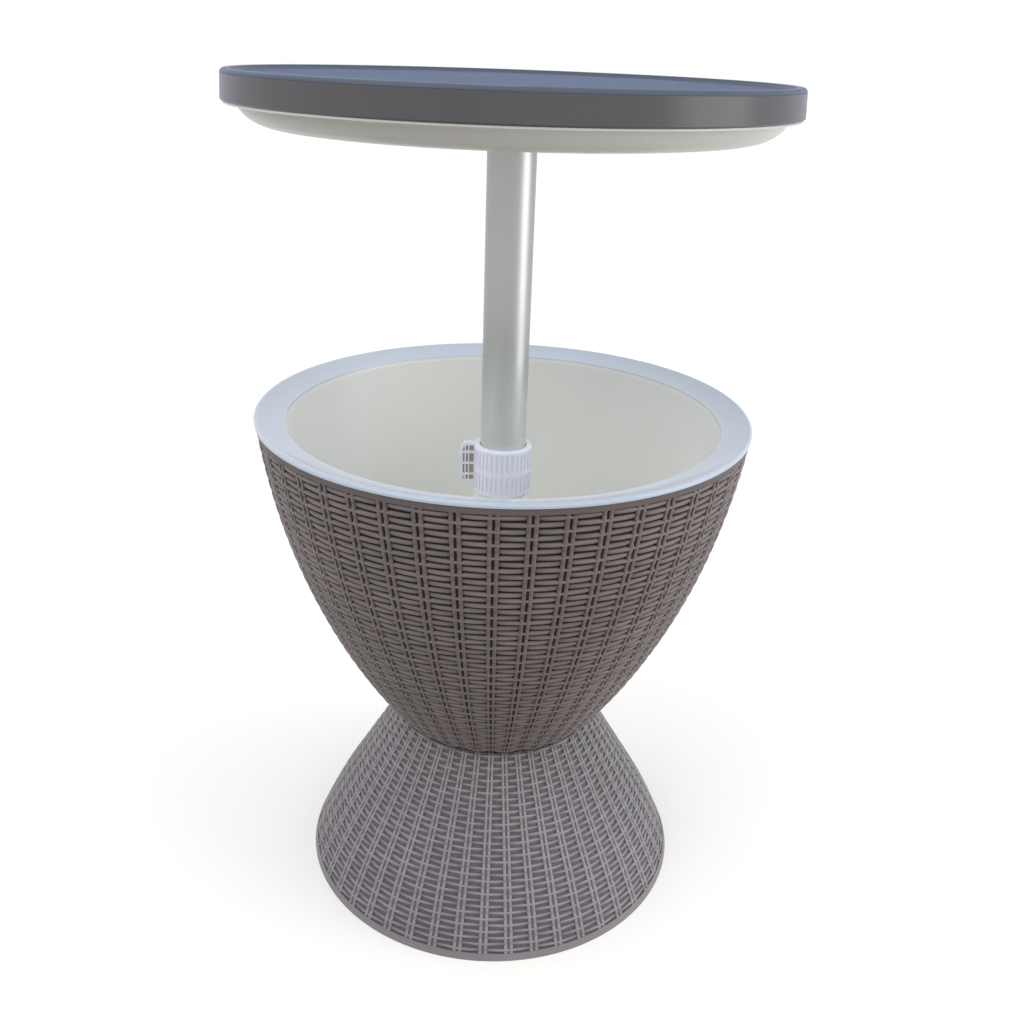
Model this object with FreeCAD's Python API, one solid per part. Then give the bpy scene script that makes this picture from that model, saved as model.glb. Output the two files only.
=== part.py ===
import FreeCAD
import Part
import os
from math import cos, hypot, radians, sin, sqrt

# Ice bucket table of moulded plastic with a lift-up top, in millimetres.
# The origin is the middle of the floor under it, +Z is up, and the top is modelled raised.
# The pierced thumb tab of the locking collar points along -X.

# Levels above the floor
WAIST_Z = 189.5
RIM_Z = 533.5
TOP_Z = 843.5

# Set from the rim: how far below it the collar starts, and the closed top's height above it
COLLAR_DROP = 90.0
LID_REST_H = 38.5

# Clearances
RUNNING_GAP = 0.05
SLIDING_GAP = 0.1
FREE_GAP = 0.3

# Woven relief: a field let into both shells between plain bands, and its uprights
WALL = 2.6
WEAVE_DEPTH = 2.4
TOP_BAND = 6.5
WAIST_BAND = 3.0
FOOT_BAND = 7.0
NECK_BAND = 4.0
STAKE_COUNT = 48
STAKE_TURN = -1.3
STAKE_SWEEP = 2.3
STAKE_DEPTH = 1.0

# Base shell: an arc from the foot, then a straight flank up to the deck
DECK_T = 4.0
FOOT_R = 210.4
FOOT_MID_R = 190.0
FOOT_MID_Z = 44.5
FLANK_R = 166.0
FLANK_Z = 86.5
NECK_R = 104.6
NECK_ROUND = 2.0
FOOT_BAND_W = 8.0
FOOT_BAND_H = 6.0
DECK_RIB_COUNT = 8
DECK_RIB_T = 2.5
DECK_RIB_H = 22.0
DECK_RIB_IN_R = 70.0

# Upper shell: one long arc from the waist to the rim
UPPER_FOOT_R = 114.0
UPPER_MID_R = 201.0
UPPER_MID_Z = 346.5
UPPER_TOP_R = 246.5

# Bucket: its rim stands over the upper shell's edge and dips towards the mouth
RIM_OVERHANG = 1.0
RIM_W = 29.5
RIM_LIP_H = 4.0
RIM_BEAD = 2.5
RIM_DIP = 7.5
RIM_DISH_W = 13.0
RIM_DISH_H = 2.6
RIM_CREST_DROP = 0.6
BUCKET_WALL = 2.5
MOUTH_STEP = 1.5
MOUTH_DROP = 4.5
BUCKET_MID_R = 186.0
BUCKET_MID_Z = 350.0
BUCKET_FLOOR_R = 103.0
BUCKET_FLOOR_UP = 12.0
BUCKET_FLOOR_T = 3.5
BUCKET_SEAT_H = 10.0
SEAT_RING_R = 99.0
SEAT_RING_T = 3.0
FLOOR_CORNER = 8.0
FLOOR_HEEL_H = 2.0
HOOK_T = 2.5
HOOK_H = 10.0

# Column: pole, sleeve, bushes and socket
POLE_R = 23.1
POLE_WALL = 1.8
POLE_GRIP = 69.5
SLEEVE_R = 26.0
SLEEVE_WALL = 1.5
SLEEVE_ABOVE_COLLAR_FOOT = 8.0
SOCKET_WALL = 4.0
SOCKET_SPARE = 1.0
SOCKET_FLANGE_R = 59.0
SOCKET_FLANGE_T = 4.0
SOCKET_RIB_COUNT = 8
SOCKET_RIB_T = 3.0
SOCKET_RIB_H = 62.0
SOCKET_RIB_TURN = 22.5
CHIMNEY_WALL = 3.0
GUIDE_H = 16.0
GUIDE_SPIGOT_H = 20.0
GUIDE_CHAMFER = 1.5
COLLAR_EDGE = 1.0
BUSH_HEAD_R = 26.0
BUSH_SLOT_W = 2.0
BUSH_SLOT_COUNT = 6
BUSH_TAPER_R = 24.6
BUSH_TAPER_H = 10.0

# Locking collar and its thumb tab
COLLAR_R = 29.5
COLLAR_H = 51.0
COLLAR_ROUND = 2.5
COLLAR_LIP_H = 5.0
GRIP_COUNT = 36
GRIP_W = 2.5
GRIP_DEPTH = 0.8
GRIP_ROWS = ((5.0, 23.0), (29.0, 46.5))
TAB_REACH = 46.0
TAB_CORNER_R = 39.5
TAB_H = 43.0
TAB_T = 7.0
TAB_SKIN = 1.5
TAB_FRAME = 3.0
TAB_COLUMNS = ((29.8, 34.3), (35.6, 37.8), (39.2, 41.0))
TAB_ROWS = ((2.8, 8.6), (11.4, 20.8), (23.4, 32.8), (35.2, 40.0))

# Lid: it stands over the rim, and its tray plugs the bucket's mouth
LID_OVERHANG = 7.7
LID_FLARE = 1.4
LID_BAND_H = 25.5
LID_FOOT_CHAMFER = 1.5
LID_WALL = 3.0
LID_LIP_W = 7.0
LID_LIP_SLOPE = 2.0
LID_LIP_SAG = 0.7
LID_LIP_CROWN = 0.4
LID_RECESS = 3.5
LID_ROUND = 4.0
LID_RIB_COUNT = 12
LID_RIB_T = 2.0
LID_RIB_H = 12.0
LID_BOSS_COUNT = 6
LID_BOSS_PITCH_R = 150.0
LID_RIB_START = 8.0
LID_RING_T = 2.0
TRAY_FLANGE_INSET = 1.8
TRAY_FLANGE_T = 1.6
TRAY_SHOULDER_IN = 4.0
TRAY_SHOULDER_DROP = 3.5
TRAY_SIDE_IN = 8.5
TRAY_SIDE_DROP = 9.7
TRAY_HEEL_IN = 15.0
TRAY_HEEL_DROP = 15.0
TRAY_TURN_IN = 23.0
TRAY_TURN_DROP = 18.6
TRAY_BOTTOM_IN = 35.5
TRAY_DEPTH = 20.2
TRAY_WALL = 2.5
TRAY_WALL_IN = 1.6
TRAY_WALL_UP = 1.9
HUB_R = 28.0
HUB_FLARE = 1.0
HUB_CHAMFER = 1.5
HUB_BELOW = 16.5
HUB_WEB_T = 4.0
HUB_POCKET_H = 12.0
POLE_HEAD_FLANGE_T = 3.0
POLE_HEAD_SPIGOT_H = 30.0
HUB_BOLT_R = 4.0
HUB_BOLT_HEAD_R = 6.5
HUB_BOLT_HEAD_H = 5.5
HUB_BOLT_CHAMFER = 1.0
HUB_BOLT_GRIP = 26.0
HUB_WASHER_R = 13.0
HUB_WASHER_T = 1.6

# Screws: self-tapping, with pan heads
SCREW_R = 2.2
SCREW_HEAD_R = 4.5
SCREW_HEAD_H = 2.8
SCREW_CROWN_R = 3.4
SCREW_BITE = 8.0
BOSS_R = 6.0
WAIST_SCREW_COUNT = 6
WAIST_SCREW_PITCH_R = 86.0
COLUMN_SCREW_COUNT = 4
COLUMN_SCREW_PITCH_R = 52.0
COLUMN_SCREW_TURN = 45.0

# Drain
DRAIN_Y = 72.0
DRAIN_R = 9.0
SPOUT_WALL = 3.0
SPOUT_DROP = 7.5
PLUG_FLANGE_R = 14.0
PLUG_FLANGE_T = 2.5
PLUG_EDGE = 1.0
PLUG_STEM_H = 16.0
PLUG_LEAD = 1.5
PLUG_LEAD_H = 3.0
PLUG_LOOP_R = 8.0
PLUG_LOOP_WIRE = 1.8
PLUG_LOOP_SINK = 0.5
SEAL_T = 1.5

# Places that follow from the sizes above
COLLAR_Z = RIM_Z - COLLAR_DROP
COLLAR_TOP_Z = COLLAR_Z + COLLAR_H
LIFT_TRAVEL = TOP_Z - RIM_Z - LID_REST_H
DECK_Z = WAIST_Z - DECK_T
SHELL_FLOOR_Z = WAIST_Z + DECK_T
BUCKET_UNDER_Z = SHELL_FLOOR_Z + BUCKET_SEAT_H
BUCKET_FLOOR_Z = BUCKET_UNDER_Z + BUCKET_FLOOR_T
SHELL_TOP_Z = RIM_Z - RIM_LIP_H
RIM_R = UPPER_TOP_R + RIM_OVERHANG
RIM_INNER_R = RIM_R - RIM_W
RIM_INNER_Z = RIM_Z - RIM_DIP
BUCKET_MOUTH_R = RIM_INNER_R - MOUTH_STEP
BUCKET_MOUTH_Z = RIM_INNER_Z - MOUTH_DROP
SLEEVE_BORE_R = SLEEVE_R - SLEEVE_WALL
SLEEVE_TOP_Z = COLLAR_Z + SLEEVE_ABOVE_COLLAR_FOOT
SOCKET_R = SLEEVE_R + SLIDING_GAP + SOCKET_WALL
COLUMN_HOLE_R = SLEEVE_R + FREE_GAP
CHIMNEY_R = COLUMN_HOLE_R + CHIMNEY_WALL
CHIMNEY_TOP_Z = COLLAR_Z - FREE_GAP
POLE_BORE_R = POLE_R - POLE_WALL
LID_R = RIM_R + LID_OVERHANG
LID_FOOT_R = LID_R + LID_FLARE
LID_FOOT_Z = TOP_Z - LID_BAND_H
TRAY_FLANGE_R = LID_FOOT_R - TRAY_FLANGE_INSET
TRAY_SHOULDER_R = RIM_R - TRAY_SHOULDER_IN
TRAY_SIDE_R = RIM_R - TRAY_SIDE_IN
TRAY_HEEL_R = RIM_R - TRAY_HEEL_IN
TRAY_TURN_R = RIM_R - TRAY_TURN_IN
TRAY_BOTTOM_R = RIM_R - TRAY_BOTTOM_IN
TRAY_BOTTOM_Z = LID_FOOT_Z - TRAY_DEPTH
TRAY_FLOOR_Z = TRAY_BOTTOM_Z + TRAY_WALL
LID_UNDER_Z = TOP_Z - LID_RECESS - LID_WALL
HUB_WEB_Z = TRAY_FLOOR_Z + HUB_POCKET_H
POLE_TOP_Z = HUB_WEB_Z - POLE_HEAD_FLANGE_T
POLE_FOOT_Z = SLEEVE_TOP_Z - POLE_GRIP
GUIDE_TOP_Z = POLE_FOOT_Z - FREE_GAP
GUIDE_FOOT_Z = GUIDE_TOP_Z - GUIDE_H
SOCKET_FLOOR_Z = GUIDE_FOOT_Z - LIFT_TRAVEL - SOCKET_SPARE
SPOUT_R = DRAIN_R + SPOUT_WALL

# How far the middle of a quarter round stands in from its square corner
BELLY = 1 - sqrt(0.5)
# How far a cutting shape runs past what it cuts
PAST = 1.0


class Arc:
    """A circle arc in the (radius, height) plane through three points."""

    def __init__(self, start, middle, end):
        (x1, y1), (x2, y2), (x3, y3) = start, middle, end
        area = 2 * ((x2 - x1) * (y3 - y1) - (x3 - x1) * (y2 - y1))
        a = (x2 - x1) ** 2 + (y2 - y1) ** 2
        b = (x3 - x1) ** 2 + (y3 - y1) ** 2
        self.x = x1 + (a * (y3 - y1) - b * (y2 - y1)) / area
        self.y = y1 + (b * (x2 - x1) - a * (x3 - x1)) / area
        self.radius = hypot(x1 - self.x, y1 - self.y)

    def at(self, height, inset=0.0):
        """The point at a height, on the arc moved inwards by an inset."""
        reach = self.radius - inset
        return (self.x + sqrt(reach ** 2 - (height - self.y) ** 2), height)

    def run(self, low, high, inset=0.0):
        """The middle and end of the stretch of arc between two heights."""
        return self.at((low + high) / 2, inset), self.at(high, inset)


def revolved(*outline, sweep=360.0):
    """A closed outline turned about Z. A step is a point, or the middle and end of an arc."""
    edges = []
    here = outline[0]
    for step in outline[1:] + (outline[0],):
        if isinstance(step[0], tuple):
            middle, end = step
            edges.append(Part.Arc(flat(here), flat(middle), flat(end)).toShape())
        else:
            end = step
            if hypot(end[0] - here[0], end[1] - here[1]) < 1e-6:
                continue
            edges.append(Part.LineSegment(flat(here), flat(end)).toShape())
        here = end
    face = Part.Face(Part.Wire(edges))
    solid = face.revolve(FreeCAD.Vector(0, 0, 0), FreeCAD.Vector(0, 0, 1), sweep)
    return closed(solid)


def flat(point):
    """A (radius, height) point in the XZ plane."""
    return FreeCAD.Vector(point[0], 0, point[1])


def closed(shape):
    """The shape as one solid, facing outwards."""
    solid = shape.Solids[0] if shape.Solids else Part.Solid(shape)
    if solid.Volume < 0:
        solid.reverse()
    return solid


def rod(radius, low, high, x=0.0, y=0.0):
    """An upright cylinder between two heights."""
    return Part.makeCylinder(radius, high - low, FreeCAD.Vector(x, y, low))


def tube(outer, inner, low, high, x=0.0, y=0.0):
    """An upright pipe between two heights."""
    return rod(outer, low, high, x, y).cut(rod(inner, low - PAST, high + PAST, x, y))


def block(x, y, z):
    """A box from three (low, high) pairs."""
    corner = FreeCAD.Vector(x[0], y[0], z[0])
    return Part.makeBox(x[1] - x[0], y[1] - y[0], z[1] - z[0], corner)


def turned(shape, degrees):
    """A copy turned about the column's axis."""
    copy = shape.copy()
    copy.rotate(FreeCAD.Vector(0, 0, 0), FreeCAD.Vector(0, 0, 1), degrees)
    return copy


def ring_of(count, radius, turn=0.0):
    """The centres of a bolt circle."""
    angles = [radians(turn + 360.0 * i / count) for i in range(count)]
    return [(radius * cos(a), radius * sin(a)) for a in angles]


def around(shape, count, turn=0.0):
    """Copies of a shape, evenly turned about the axis."""
    return [turned(shape, turn + 360.0 * i / count) for i in range(count)]


WAIST_SCREWS = ring_of(WAIST_SCREW_COUNT, WAIST_SCREW_PITCH_R)
COLUMN_SCREWS = ring_of(COLUMN_SCREW_COUNT, COLUMN_SCREW_PITCH_R, COLUMN_SCREW_TURN)
LID_SCREWS = ring_of(LID_BOSS_COUNT, LID_BOSS_PITCH_R)

BASE_ARC = Arc((FOOT_R, 0), (FOOT_MID_R, FOOT_MID_Z), (FLANK_R, FLANK_Z))
UPPER_ARC = Arc((UPPER_FOOT_R, WAIST_Z), (UPPER_MID_R, UPPER_MID_Z), (UPPER_TOP_R, SHELL_TOP_Z))
BUCKET_ARC = Arc(
    (BUCKET_FLOOR_R, BUCKET_FLOOR_Z + BUCKET_FLOOR_UP),
    (BUCKET_MID_R, BUCKET_MID_Z),
    (BUCKET_MOUTH_R, BUCKET_MOUTH_Z),
)


def flank_r(height, inset=0.0):
    """Radius of the base's straight flank at a height."""
    slope = (FLANK_R - NECK_R) / (WAIST_Z - FLANK_Z)
    return FLANK_R - slope * (height - FLANK_Z) - inset * sqrt(1 + slope ** 2)


def waist_openings(low, high):
    """What passes through the decks at the waist: column, screws and drain spout."""
    cuts = [rod(COLUMN_HOLE_R, low, high)]
    cuts += [rod(SCREW_R + FREE_GAP, low, high, x, y) for x, y in WAIST_SCREWS + COLUMN_SCREWS]
    cuts.append(rod(SPOUT_R + FREE_GAP, low, high, 0, DRAIN_Y))
    return cuts


def make_base_shell():
    """Lower moulding: woven flank, plain foot band, ribbed deck, open below."""
    inner = WEAVE_DEPTH + WALL
    neck_z = WAIST_Z - NECK_BAND
    shell = revolved(
        (FOOT_R, 0),
        BASE_ARC.run(0, FOOT_BAND),
        BASE_ARC.at(FOOT_BAND, WEAVE_DEPTH),
        BASE_ARC.run(FOOT_BAND, FLANK_Z, WEAVE_DEPTH),
        (flank_r(FLANK_Z, WEAVE_DEPTH), FLANK_Z),
        (flank_r(neck_z, WEAVE_DEPTH), neck_z),
        (flank_r(neck_z), neck_z),
        (flank_r(WAIST_Z - NECK_ROUND), WAIST_Z - NECK_ROUND),
        (NECK_R - NECK_ROUND, WAIST_Z),
        (COLUMN_HOLE_R, WAIST_Z),
        (COLUMN_HOLE_R, DECK_Z),
        (flank_r(DECK_Z, inner), DECK_Z),
        (flank_r(FLANK_Z, inner), FLANK_Z),
        BASE_ARC.at(FLANK_Z, inner),
        BASE_ARC.run(FLANK_Z, FOOT_BAND_H, inner),
        (FOOT_R - FOOT_BAND_W, FOOT_BAND_H),
        (FOOT_R - FOOT_BAND_W, 0),
    )
    rib_low = DECK_Z - DECK_RIB_H
    rib = Part.makePolygon([
        FreeCAD.Vector(DECK_RIB_IN_R, -DECK_RIB_T / 2, DECK_Z),
        FreeCAD.Vector(flank_r(DECK_Z, inner - WALL / 2), -DECK_RIB_T / 2, DECK_Z),
        FreeCAD.Vector(flank_r(rib_low, inner - WALL / 2), -DECK_RIB_T / 2, rib_low),
        FreeCAD.Vector(DECK_RIB_IN_R, -DECK_RIB_T / 2, DECK_Z),
    ])
    rib = Part.Face(rib).extrude(FreeCAD.Vector(0, DECK_RIB_T, 0))
    ribs = around(rib, DECK_RIB_COUNT, 180.0 / DECK_RIB_COUNT)
    shell = shell.fuse(ribs + around(base_stake(), STAKE_COUNT, STAKE_TURN))
    return closed(shell.cut(waist_openings(DECK_Z - PAST, WAIST_Z + PAST)).removeSplitter())


def base_stake():
    """One upright of the base's weave, rooted in the wall behind it."""
    root = WEAVE_DEPTH + WALL / 2
    low = FOOT_BAND - PAST
    high = WAIST_Z - NECK_BAND + PAST
    stake = revolved(
        BASE_ARC.at(low, STAKE_DEPTH),
        BASE_ARC.run(low, FLANK_Z, STAKE_DEPTH),
        (flank_r(FLANK_Z, STAKE_DEPTH), FLANK_Z),
        (flank_r(high, STAKE_DEPTH), high),
        (flank_r(high, root), high),
        (flank_r(FLANK_Z, root), FLANK_Z),
        BASE_ARC.at(FLANK_Z, root),
        BASE_ARC.run(FLANK_Z, low, root),
        sweep=STAKE_SWEEP,
    )
    return turned(stake, -STAKE_SWEEP / 2)


def make_upper_shell():
    """Upper moulding: woven wall from the waist to the rim, with a flat floor."""
    inner = WEAVE_DEPTH + WALL
    waist_z = WAIST_Z + WAIST_BAND
    band_z = SHELL_TOP_Z - TOP_BAND
    shell = revolved(
        (COLUMN_HOLE_R, WAIST_Z),
        (UPPER_FOOT_R, WAIST_Z),
        UPPER_ARC.run(WAIST_Z, waist_z),
        UPPER_ARC.at(waist_z, WEAVE_DEPTH),
        UPPER_ARC.run(waist_z, band_z, WEAVE_DEPTH),
        UPPER_ARC.at(band_z),
        UPPER_ARC.run(band_z, SHELL_TOP_Z),
        UPPER_ARC.at(SHELL_TOP_Z, inner),
        UPPER_ARC.run(SHELL_TOP_Z, SHELL_FLOOR_Z, inner),
        (COLUMN_HOLE_R, SHELL_FLOOR_Z),
    )
    shell = shell.fuse(around(upper_stake(), STAKE_COUNT, STAKE_TURN))
    return closed(shell.cut(waist_openings(WAIST_Z - PAST, SHELL_FLOOR_Z + PAST)).removeSplitter())


def upper_stake():
    """One upright of the upper shell's weave, rooted in the wall behind it."""
    root = WEAVE_DEPTH + WALL / 2
    low = WAIST_Z + WAIST_BAND - PAST
    high = SHELL_TOP_Z - TOP_BAND + PAST
    stake = revolved(
        UPPER_ARC.at(low, STAKE_DEPTH),
        UPPER_ARC.run(low, high, STAKE_DEPTH),
        UPPER_ARC.at(high, root),
        UPPER_ARC.run(high, low, root),
        sweep=STAKE_SWEEP,
    )
    return turned(stake, -STAKE_SWEEP / 2)


def make_bucket():
    """White liner in one moulding: dished rim, wall, floor, centre chimney and drain spout."""
    corner_z = BUCKET_FLOOR_Z + BUCKET_FLOOR_UP
    hook_foot_z = SHELL_TOP_Z - HOOK_H
    shell_wall = WEAVE_DEPTH + WALL
    hook_top_r = UPPER_ARC.at(SHELL_TOP_Z, shell_wall)[0] - FREE_GAP
    hook_foot_r = UPPER_ARC.at(hook_foot_z, shell_wall)[0] - FREE_GAP
    body = revolved(
        (COLUMN_HOLE_R, SHELL_FLOOR_Z),
        (COLUMN_HOLE_R, CHIMNEY_TOP_Z),
        (CHIMNEY_R, CHIMNEY_TOP_Z),
        (CHIMNEY_R, BUCKET_FLOOR_Z + FLOOR_CORNER),
        ((CHIMNEY_R + BELLY * FLOOR_CORNER, BUCKET_FLOOR_Z + BELLY * FLOOR_CORNER),
         (CHIMNEY_R + FLOOR_CORNER, BUCKET_FLOOR_Z)),
        (BUCKET_FLOOR_R - BUCKET_FLOOR_UP, BUCKET_FLOOR_Z),
        ((BUCKET_FLOOR_R - BELLY * BUCKET_FLOOR_UP, BUCKET_FLOOR_Z + BELLY * BUCKET_FLOOR_UP),
         (BUCKET_FLOOR_R, corner_z)),
        ((BUCKET_MID_R, BUCKET_MID_Z), (BUCKET_MOUTH_R, BUCKET_MOUTH_Z)),
        (RIM_INNER_R, RIM_INNER_Z),
        ((RIM_INNER_R + RIM_DISH_W, RIM_INNER_Z + RIM_DISH_H),
         (RIM_R - 2 * RIM_BEAD, RIM_Z - RIM_CREST_DROP)),
        ((RIM_R - RIM_BEAD, RIM_Z), (RIM_R, RIM_Z - RIM_BEAD)),
        (RIM_R, SHELL_TOP_Z),
        (hook_top_r, SHELL_TOP_Z),
        (hook_foot_r, hook_foot_z),
        (hook_foot_r - HOOK_T, hook_foot_z),
        (hook_top_r - HOOK_T, SHELL_TOP_Z - RIM_BEAD),
        (RIM_INNER_R + BUCKET_WALL, RIM_INNER_Z - RIM_BEAD),
        (BUCKET_MOUTH_R + BUCKET_WALL, BUCKET_MOUTH_Z - BUCKET_WALL),
        (BUCKET_ARC.at(BUCKET_MID_Z, -BUCKET_WALL), BUCKET_ARC.at(corner_z, -BUCKET_WALL)),
        (BUCKET_FLOOR_R, BUCKET_UNDER_Z + FLOOR_HEEL_H),
        (SEAT_RING_R, BUCKET_UNDER_Z),
        (SEAT_RING_R, SHELL_FLOOR_Z),
        (SEAT_RING_R - SEAT_RING_T, SHELL_FLOOR_Z),
        (SEAT_RING_R - SEAT_RING_T, BUCKET_UNDER_Z),
        (CHIMNEY_R, BUCKET_UNDER_Z),
        (CHIMNEY_R, SHELL_FLOOR_Z),
    )
    centres = WAIST_SCREWS + COLUMN_SCREWS
    bosses = [rod(BOSS_R, SHELL_FLOOR_Z, BUCKET_UNDER_Z + PAST, x, y) for x, y in centres]
    spout = rod(SPOUT_R, DECK_Z - SPOUT_DROP, BUCKET_UNDER_Z + PAST, 0, DRAIN_Y)
    body = body.fuse(bosses + [spout])
    pilot_top = SHELL_FLOOR_Z + SCREW_BITE + PAST
    pilots = [rod(SCREW_R + RUNNING_GAP, SHELL_FLOOR_Z - PAST, pilot_top, x, y)
              for x, y in centres]
    bore = rod(DRAIN_R, DECK_Z - SPOUT_DROP - PAST, BUCKET_FLOOR_Z + PAST, 0, DRAIN_Y)
    return closed(body.cut(pilots + [bore]).removeSplitter())


def make_column_socket():
    """Ribbed cup under the deck that the sleeve stands in."""
    foot_z = SOCKET_FLOOR_Z - SOCKET_WALL
    bore_r = SLEEVE_R + SLIDING_GAP
    flange_z = DECK_Z - SOCKET_FLANGE_T
    cup = revolved(
        (0, foot_z),
        (SOCKET_R, foot_z),
        (SOCKET_R, flange_z),
        (SOCKET_FLANGE_R, flange_z),
        (SOCKET_FLANGE_R, DECK_Z),
        (bore_r, DECK_Z),
        (bore_r, SOCKET_FLOOR_Z),
        (0, SOCKET_FLOOR_Z),
    )
    rib = Part.makePolygon([
        FreeCAD.Vector(SOCKET_R - SOCKET_WALL / 2, -SOCKET_RIB_T / 2, flange_z),
        FreeCAD.Vector(SOCKET_FLANGE_R - SOCKET_WALL, -SOCKET_RIB_T / 2, flange_z),
        FreeCAD.Vector(SOCKET_R - SOCKET_WALL / 2, -SOCKET_RIB_T / 2, flange_z - SOCKET_RIB_H),
        FreeCAD.Vector(SOCKET_R - SOCKET_WALL / 2, -SOCKET_RIB_T / 2, flange_z),
    ])
    rib = Part.Face(rib).extrude(FreeCAD.Vector(0, SOCKET_RIB_T, 0))
    cup = cup.fuse(around(rib, SOCKET_RIB_COUNT, SOCKET_RIB_TURN))
    holes = [rod(SCREW_R + FREE_GAP, flange_z - PAST, DECK_Z + PAST, x, y) for x, y in COLUMN_SCREWS]
    return closed(cup.cut(holes).removeSplitter())


def make_sleeve():
    """Fixed outer tube, from the socket's floor into the collar."""
    return tube(SLEEVE_R, SLEEVE_BORE_R, SOCKET_FLOOR_Z, SLEEVE_TOP_Z)


def make_clamp_bush():
    """Slotted bush in the sleeve's mouth. Its long tail stops the pole's guide."""
    top_z = COLLAR_TOP_Z - COLLAR_LIP_H - FREE_GAP
    slot_z = SLEEVE_TOP_Z + BUSH_TAPER_H
    bore_r = POLE_R + RUNNING_GAP
    bush = revolved(
        (bore_r, POLE_FOOT_Z),
        (SLEEVE_BORE_R - RUNNING_GAP, POLE_FOOT_Z),
        (SLEEVE_BORE_R - RUNNING_GAP, SLEEVE_TOP_Z),
        (BUSH_HEAD_R, SLEEVE_TOP_Z),
        (BUSH_HEAD_R, top_z - BUSH_TAPER_H),
        (BUSH_TAPER_R, top_z),
        (bore_r, top_z),
    )
    slot = block((0, BUSH_HEAD_R + PAST), (-BUSH_SLOT_W / 2, BUSH_SLOT_W / 2),
                 (slot_z, top_z + PAST))
    return closed(bush.cut(around(slot, BUSH_SLOT_COUNT)))


def tab_outline(inset, half, low, high):
    """The tab's rounded outline, drawn in from its edge and as thick as twice half."""
    reach = TAB_REACH - inset
    corner = TAB_CORNER_R - inset
    root = COLLAR_R - COLLAR_ROUND if inset == 0 else COLLAR_R
    top = FreeCAD.Vector(-corner, -half, high)
    foot = FreeCAD.Vector(-corner, -half, low)
    edges = [
        Part.LineSegment(FreeCAD.Vector(-root, -half, high), top).toShape(),
        Part.Arc(top, FreeCAD.Vector(-reach, -half, (low + high) / 2), foot).toShape(),
        Part.LineSegment(foot, FreeCAD.Vector(-root, -half, low)).toShape(),
        Part.LineSegment(FreeCAD.Vector(-root, -half, low), FreeCAD.Vector(-root, -half, high)).toShape(),
    ]
    return Part.Face(Part.Wire(edges)).extrude(FreeCAD.Vector(0, 2 * half, 0))


def tab_core():
    """The space inside the tab that the grip pad fills."""
    low = COLLAR_TOP_Z - TAB_H + TAB_SKIN
    high = COLLAR_TOP_Z - TAB_SKIN
    return tab_outline(TAB_FRAME, TAB_T / 2 - TAB_SKIN, low, high)


def make_lock_collar():
    """Locking ring round the column, with its pierced thumb tab in the same moulding."""
    inner_r = BUSH_HEAD_R + FREE_GAP
    seat_z = COLLAR_TOP_Z - COLLAR_LIP_H
    ring = revolved(
        (inner_r, COLLAR_Z),
        (COLLAR_R - COLLAR_EDGE, COLLAR_Z),
        (COLLAR_R, COLLAR_Z + COLLAR_EDGE),
        (COLLAR_R, COLLAR_TOP_Z - COLLAR_ROUND),
        ((COLLAR_R - BELLY * COLLAR_ROUND, COLLAR_TOP_Z - BELLY * COLLAR_ROUND),
         (COLLAR_R - COLLAR_ROUND, COLLAR_TOP_Z)),
        (POLE_R + FREE_GAP + COLLAR_EDGE, COLLAR_TOP_Z),
        (POLE_R + FREE_GAP, COLLAR_TOP_Z - COLLAR_EDGE),
        (POLE_R + FREE_GAP, seat_z),
        (BUSH_TAPER_R + FREE_GAP, seat_z),
        (inner_r, seat_z - BUSH_TAPER_H),
    )
    for low, high in GRIP_ROWS:
        groove = block((COLLAR_R - GRIP_DEPTH, COLLAR_R + PAST), (-GRIP_W / 2, GRIP_W / 2),
                       (COLLAR_Z + low, COLLAR_Z + high))
        ring = ring.cut(around(groove, GRIP_COUNT))
    tab = tab_outline(0, TAB_T / 2, COLLAR_TOP_Z - TAB_H, COLLAR_TOP_Z)
    ring = ring.fuse(tab.cut(tab_core()))
    windows = [block((-far, -near), (-TAB_T, TAB_T), (COLLAR_TOP_Z - low, COLLAR_TOP_Z - high))
               for near, far in TAB_COLUMNS for high, low in TAB_ROWS]
    return closed(ring.cut(windows))


def make_grip_pad():
    """Soft insert that fills the tab and shows through its windows."""
    return closed(tab_core())


def make_pole():
    """Aluminium tube that carries the top."""
    return tube(POLE_R, POLE_BORE_R, POLE_FOOT_Z, POLE_TOP_Z)


def make_pole_guide():
    """Bush on the pole's foot: it runs in the sleeve and stops under the clamp bush."""
    guide_r = SLEEVE_BORE_R - SLIDING_GAP
    spigot_r = POLE_BORE_R - RUNNING_GAP
    return revolved(
        (0, GUIDE_FOOT_Z),
        (guide_r - GUIDE_CHAMFER, GUIDE_FOOT_Z),
        (guide_r, GUIDE_FOOT_Z + GUIDE_CHAMFER),
        (guide_r, GUIDE_TOP_Z),
        (spigot_r, GUIDE_TOP_Z),
        (spigot_r, GUIDE_TOP_Z + GUIDE_SPIGOT_H),
        (0, GUIDE_TOP_Z + GUIDE_SPIGOT_H),
    )


def make_pole_head():
    """Plug in the pole's top end, with a flange that carries the lid's hub."""
    spigot_r = POLE_BORE_R - RUNNING_GAP
    return revolved(
        (HUB_BOLT_R, POLE_TOP_Z - POLE_HEAD_SPIGOT_H),
        (spigot_r, POLE_TOP_Z - POLE_HEAD_SPIGOT_H),
        (spigot_r, POLE_TOP_Z),
        (POLE_R, POLE_TOP_Z),
        (POLE_R, HUB_WEB_Z),
        (HUB_BOLT_R, HUB_WEB_Z),
    )


def make_hub_washer():
    """Wide washer over the hub's web."""
    low = HUB_WEB_Z + HUB_WEB_T + FREE_GAP
    return tube(HUB_WASHER_R, HUB_BOLT_R + SLIDING_GAP, low, low + HUB_WASHER_T)


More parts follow.
